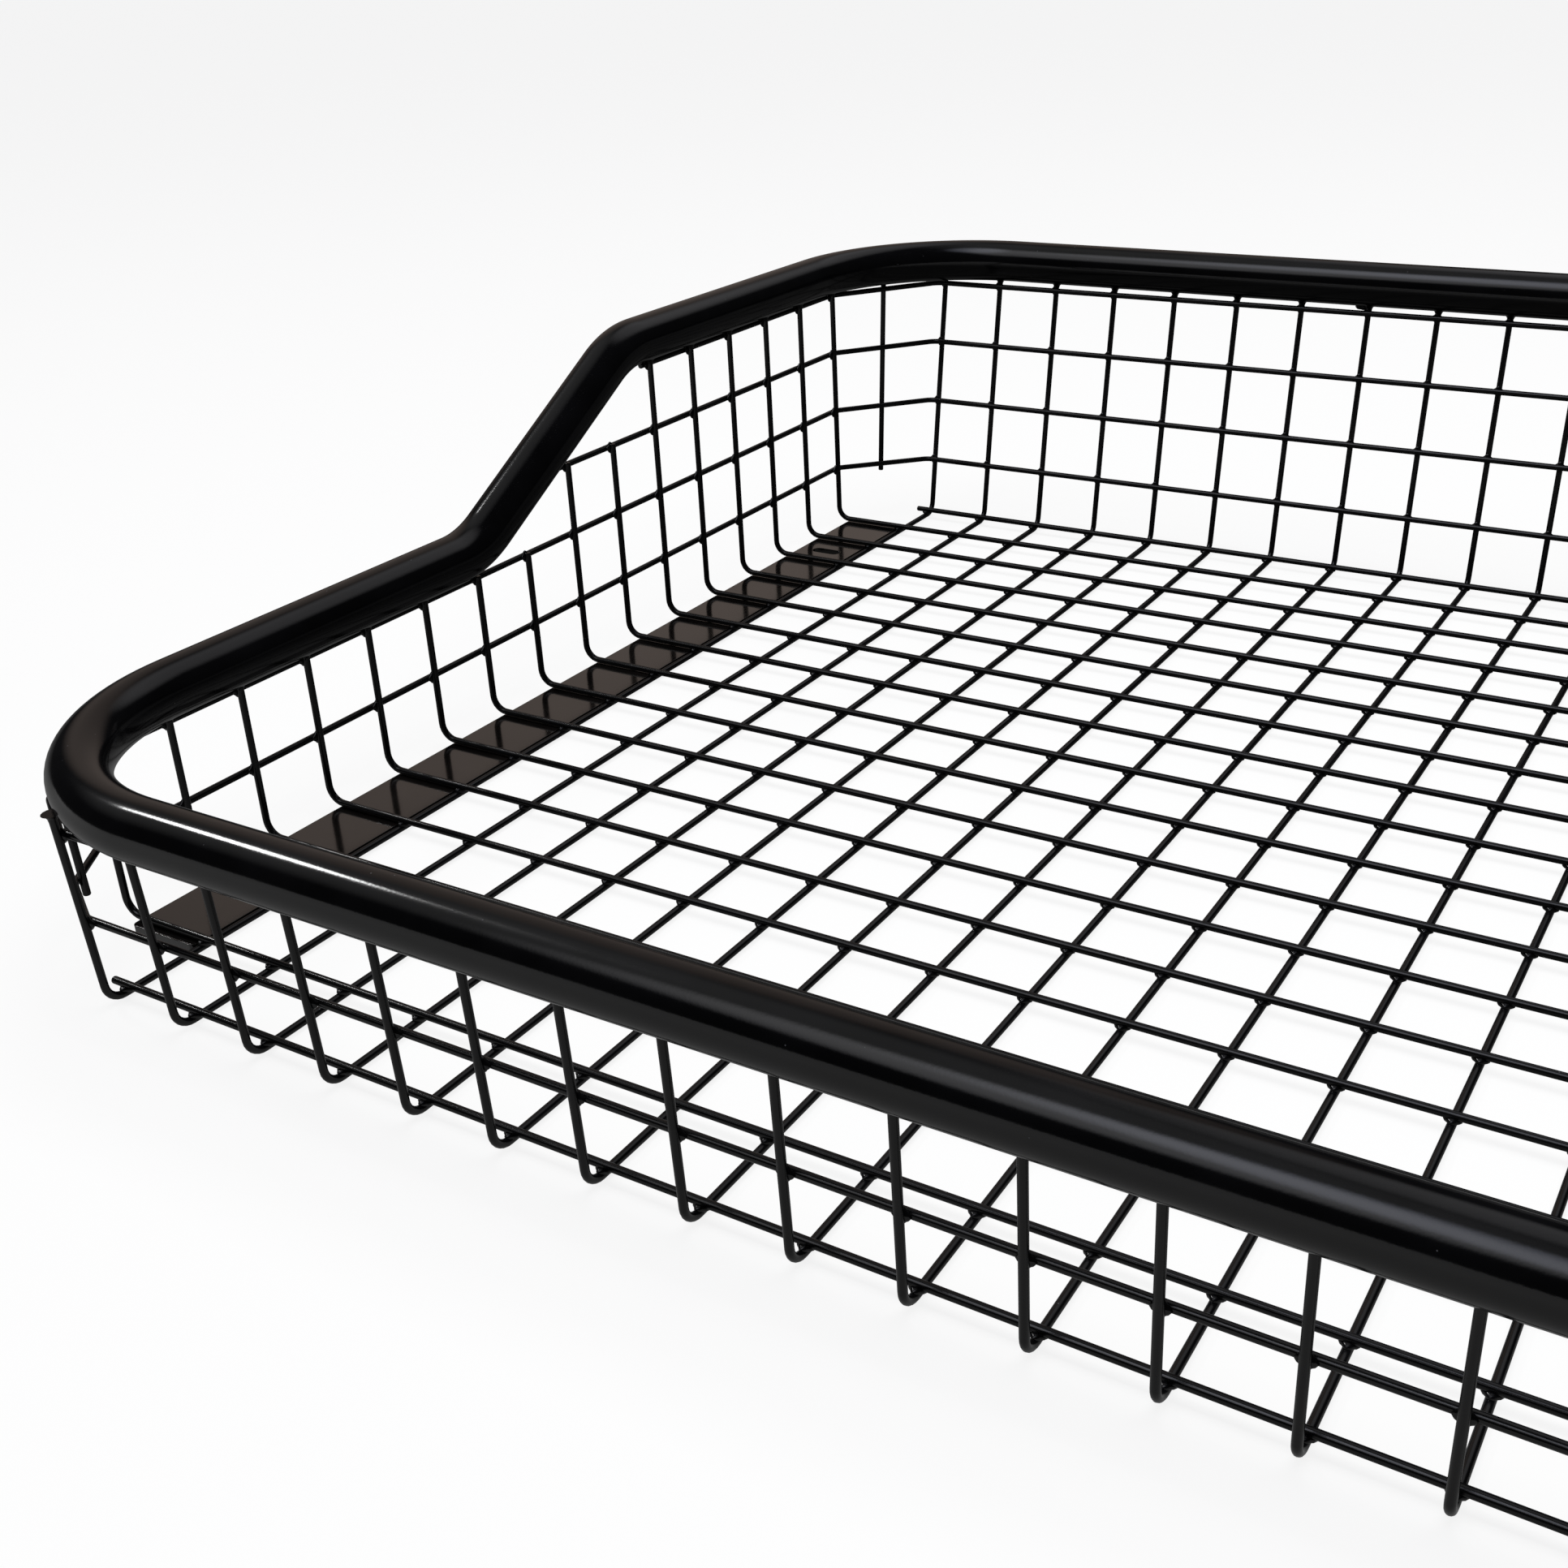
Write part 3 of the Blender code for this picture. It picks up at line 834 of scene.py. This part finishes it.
world = bpy.data.worlds.new("studio")
bpy.context.scene.world = world
world.use_nodes = True
tree = world.node_tree
looking = addNode(tree, "ShaderNodeTexCoord").outputs["Generated"]
total = None
for turn, height, full, gone, bright, tone in softboxes.values():
    facing = addNode(
        tree, "ShaderNodeVectorMath", {"operation": "DOT_PRODUCT"},
        {0: looking, 1: bearing(turn, height)},
    )
    glow = addNode(
        tree, "ShaderNodeMapRange", {"interpolation_type": "SMOOTHSTEP"},
        {"Value": facing.outputs["Value"], "From Min": math.cos(math.radians(gone)),
         "From Max": math.cos(math.radians(full)), "To Min": 0.0, "To Max": bright},
    )
    tinted = addNode(
        tree, "ShaderNodeMix", {"data_type": "RGBA"},
        {"Factor": glow.outputs["Result"], 6: (0, 0, 0, 1), 7: hexColor(tone)},
    )
    tinted.clamp_factor = False
    if total is None:
        total = tinted.outputs[2]
        continue
    total = addNode(
        tree, "ShaderNodeVectorMath", {"operation": "ADD"}, {0: total, 1: tinted.outputs[2]}
    ).outputs["Vector"]
total = addNode(
    tree, "ShaderNodeVectorMath", {"operation": "ADD"}, {0: total, 1: (dimWall,) * 3}
).outputs["Vector"]
studio = tree.nodes["Background"]
tree.links.new(total, studio.inputs["Color"])
plain = addNode(tree, "ShaderNodeBackground", None, {"Color": (1, 1, 1, 1), "Strength": plainWhite})
rayKind = addNode(tree, "ShaderNodeLightPath")
choice = addNode(
    tree, "ShaderNodeMixShader", None,
    {"Fac": rayKind.outputs["Is Camera Ray"], 1: studio.outputs[0], 2: plain.outputs[0]},
)
tree.links.new(choice.outputs[0], tree.nodes["World Output"].inputs["Surface"])

# One broad lamp overhead gives the floor its soft shadow; the coat doesn't mirror it
lampSettings = {"place": (0.2, 0.1, 3.0), "size": (3.0, 2.4), "power": 90}
deselectAll()
bpy.ops.object.light_add(type="AREA", location=lampSettings["place"])
lamp = bpy.context.object
lamp.name = "overheadLamp"
lamp.data.shape = "RECTANGLE"
lamp.data.size, lamp.data.size_y = lampSettings["size"]
lamp.data.energy = lampSettings["power"]
lamp.visible_glossy = False
bpy.context.scene.view_settings.view_transform = "Standard"
print("studio set")

# The sleeve keeps the frame's own mesh
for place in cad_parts["rim_sleeve_back"].material_slots:
    place.material = drawnSteel
